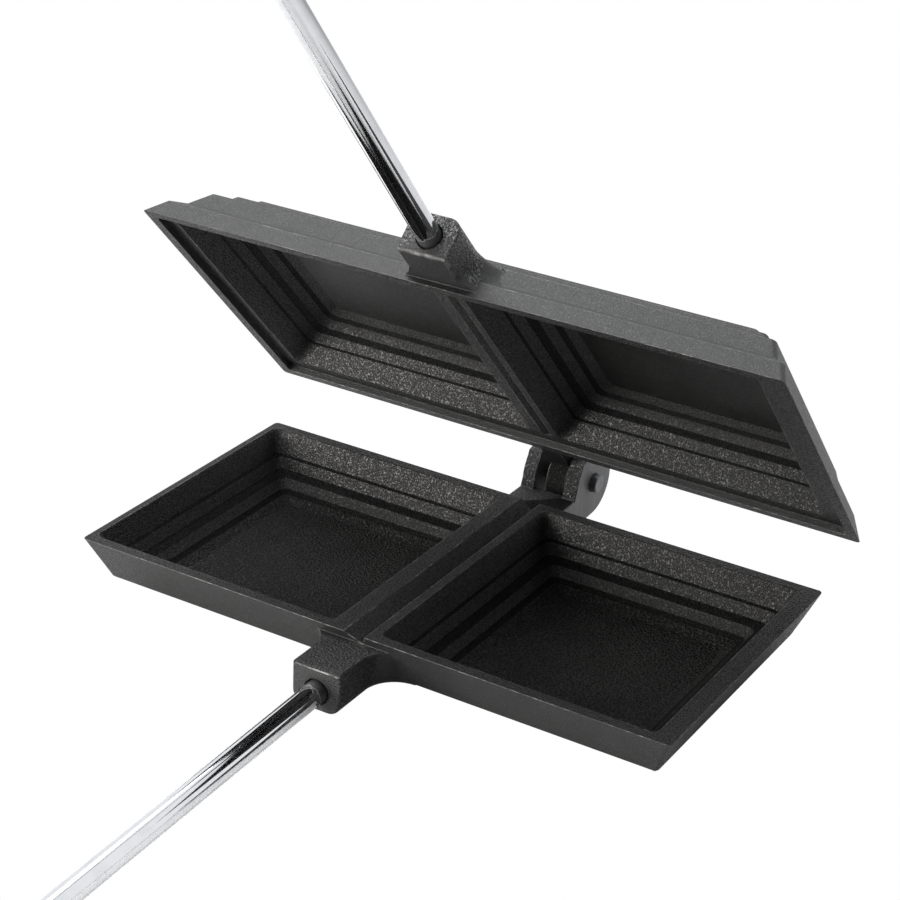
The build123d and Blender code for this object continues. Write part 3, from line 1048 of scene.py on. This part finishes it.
class PIEIRON_OT_stage(bpy.types.Operator):
    """Lays the pale floor and sets the white room, the soft lights and the camera.

    The ground in the picture is plain white, so the camera doesn't see the floor, only its light.
    """

    bl_idname = "pie_iron.stage"
    bl_label = "Stage"

    def execute(self, context):
        looks = context.scene.pie_iron_stage
        scene = context.scene
        scene.view_settings.view_transform = "Standard"
        side = np.linspace(-FLOOR_HALF, FLOOR_HALF, FLOOR_SQUARES + 1)
        x, y = np.meshgrid(side, side, indexing="xy")
        points = np.stack([x.ravel(), y.ravel(), np.full(x.size, -FLOOR_DROP)], axis=1)
        row = len(side)
        corner = (np.arange(FLOOR_SQUARES)[:, None] * row + np.arange(FLOOR_SQUARES)).ravel()
        squares = np.stack([corner, corner + 1, corner + row + 1, corner + row], axis=1)
        mesh = bpy.data.meshes.new("floor")
        mesh.from_pydata(points.tolist(), [], squares.tolist())
        mesh.materials.append(floor_paint("white floor", tuple(looks.floor_colour)))
        floor = shown("floor", mesh)
        floor.visible_camera = False
        scene.world = white_room(looks.back_room, looks.front_room)
        for name, (place, aim, width, height, tint) in LIGHTS.items():
            power = getattr(looks, name + "_light")
            soft_light(name + " light", place, aim, width, height, power, tint)
        data = bpy.data.cameras.new("camera")
        data.lens = looks.lens
        data.sensor_width = 36
        data.clip_start, data.clip_end = 0.01, 50
        camera = bpy.data.objects.new("camera", data)
        way = Vector(looks.camera_aim) - Vector(looks.camera_place)
        turn = way.to_track_quat("-Z", "Y").to_matrix().to_4x4()
        roll = Matrix.Rotation(looks.camera_roll, 4, "Z")
        camera.matrix_world = Matrix.Translation(looks.camera_place) @ turn @ roll
        scene.collection.objects.link(camera)
        scene.camera = camera
        return {"FINISHED"}


SETTINGS = {
    "pie_iron_castings": CastingSettings,
    "pie_iron_rods": RodSettings,
    "pie_iron_pin": PinSettings,
    "pie_iron_grips": GripSettings,
    "pie_iron_stage": StageSettings,
}
OPERATORS = (
    PIEIRON_OT_stage,
    PIEIRON_OT_castings,
    PIEIRON_OT_hinge_pin,
    PIEIRON_OT_rods,
    PIEIRON_OT_grips,
)


class PIEIRON_PT_looks(bpy.types.Panel):
    """Sidebar panel with the steps and their settings."""

    bl_idname = "PIEIRON_PT_looks"
    bl_label = "Pie Iron"
    bl_space_type = "VIEW_3D"
    bl_region_type = "UI"
    bl_category = "Pie Iron"

    def draw(self, context):
        for step in OPERATORS:
            self.layout.operator(step.bl_idname)
        for name in SETTINGS:
            settings = getattr(context.scene, name)
            box = self.layout.box()
            for field in settings.bl_rna.properties:
                if field.identifier not in ("rna_type", "name"):
                    box.prop(settings, field.identifier)


def register():
    """Adds the settings, the operators and the panel."""
    for name, settings in SETTINGS.items():
        bpy.utils.register_class(settings)
        setattr(bpy.types.Scene, name, bpy.props.PointerProperty(type=settings))
    for step in (*OPERATORS, PIEIRON_PT_looks):
        bpy.utils.register_class(step)


def unregister():
    """Takes them out again."""
    for step in (PIEIRON_PT_looks, *reversed(OPERATORS)):
        bpy.utils.unregister_class(step)
    for name, settings in SETTINGS.items():
        delattr(bpy.types.Scene, name)
        bpy.utils.unregister_class(settings)


def main():
    """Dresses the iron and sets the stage."""
    register()
    bpy.ops.pie_iron.stage()
    bpy.ops.pie_iron.castings()
    bpy.ops.pie_iron.hinge_pin()
    bpy.ops.pie_iron.rods()
    bpy.ops.pie_iron.grips()


if __name__ == "__main__":
    main()
